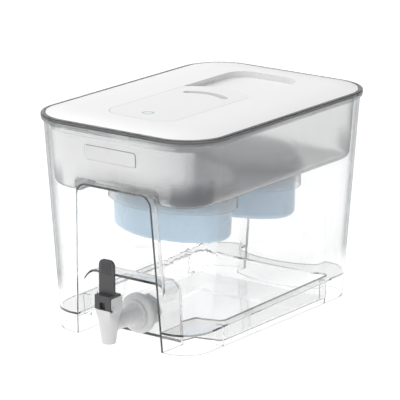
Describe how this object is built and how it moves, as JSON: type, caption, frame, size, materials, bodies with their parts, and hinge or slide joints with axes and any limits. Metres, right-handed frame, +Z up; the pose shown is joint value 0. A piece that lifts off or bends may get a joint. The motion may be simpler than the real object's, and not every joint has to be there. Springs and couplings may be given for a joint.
{
  "type": "gravity water filter dispenser with tap",
  "caption": "Countertop gravity water filter: clear tapered tank with a front tap, smoky upper reservoir with oval filter cartridges, white lid with sliding fill cover.",
  "frame": {"origin": "middle of the flat underside of the tank, on the surface it stands on", "axes": "+Z up, +Y from the tap towards the back, +X to the right seen from the front"},
  "size_m": [0.2478, 0.3679, 0.2545],
  "materials": {
    "clear_plastic": "clear polished moulded plastic",
    "smoky_plastic": "smoky translucent moulded plastic",
    "lid_white": "white satin moulded plastic",
    "cover_white": "off-white fine matt moulded plastic",
    "white_plastic": "white moulded plastic",
    "pale_blue_plastic": "pale blue moulded plastic",
    "cap_grey": "blue-grey moulded plastic",
    "dark_grey_plastic": "dark grey satin plastic with grip ribs",
    "silicone": "pale silicone rubber",
    "steel": "stainless steel",
    "filter_mesh": "fine white polymer mesh",
    "carbon_media": "dark granular carbon",
    "circuit_board": "green circuit board",
    "button_green": "white button with a faint green tint"
  },
  "bodies": {
    "tank": {"tank": "clear_plastic", "tap_body": "white_plastic", "tap_bonnet": "white_plastic", "lever_pin": "steel", "outer_washer": "silicone", "inner_washer": "silicone", "lock_nut": "white_plastic"},
    "lever": {"tap_lever": "dark_grey_plastic"},
    "valve": {"valve_stem": "white_plastic", "stem_pin": "steel", "seat_cup": "silicone", "valve_spring": "steel"},
    "reservoir": {"reservoir": "smoky_plastic"},
    "lid": {"lid": "lid_white"},
    "cover": {"fill_cover": "cover_white", "cover_base": "cover_white", "indicator_board": "circuit_board", "indicator_cell": "steel"},
    "button": {"indicator_button": "button_green"},
    "front_cartridge": {"front_filter_cup": "pale_blue_plastic", "front_filter_lower_mesh": "filter_mesh", "front_filter_media": "carbon_media", "front_filter_upper_mesh": "filter_mesh", "front_filter_cap": "cap_grey", "front_filter_pull": "cap_grey", "front_filter_seal": "silicone"},
    "rear_cartridge": {"rear_filter_cup": "pale_blue_plastic", "rear_filter_lower_mesh": "filter_mesh", "rear_filter_media": "carbon_media", "rear_filter_upper_mesh": "filter_mesh", "rear_filter_cap": "cap_grey", "rear_filter_pull": "cap_grey", "rear_filter_seal": "silicone"}
  },
  "joints": [
    {"name": "lever_swing", "type": "hinge", "parent": "tank", "child": "lever", "pos_m": [0, -0.1835, 0.049], "axis": [1, 0, 0], "range_deg": [0, 28], "stiffness_Nm_per_rad": 0.06, "springref_deg": -11.46},
    {"name": "valve_lift", "type": "slide", "parent": "tank", "child": "valve", "axis": [0, 0, 1], "range_m": [0, 0.0026], "deforming": ["valve_spring"]},
    {"name": "reservoir_lift", "type": "slide", "parent": "tank", "child": "reservoir", "axis": [0, 0, 1], "range_m": [0, 0.15]},
    {"name": "front_cartridge_lift", "type": "slide", "parent": "reservoir", "child": "front_cartridge", "axis": [0, 0, 1], "range_m": [0, 0.025]},
    {"name": "rear_cartridge_lift", "type": "slide", "parent": "reservoir", "child": "rear_cartridge", "axis": [0, 0, 1], "range_m": [0, 0.025]},
    {"name": "lid_lift", "type": "slide", "parent": "reservoir", "child": "lid", "axis": [0, 0, 1], "range_m": [0, 0.05]},
    {"name": "cover_slide", "type": "slide", "parent": "lid", "child": "cover", "axis": [0, 1, 0], "range_m": [0, 0.06]},
    {"name": "button_press", "type": "slide", "parent": "cover", "child": "button", "axis": [0, 0, -1], "range_m": [0, 0.0006], "stiffness_N_per_m": 400, "springref_m": -0.001}
  ],
  "couplings": [
    {"joint": "valve_lift", "follows": "lever_swing", "m_per_rad": 0.0053198}
  ]
}
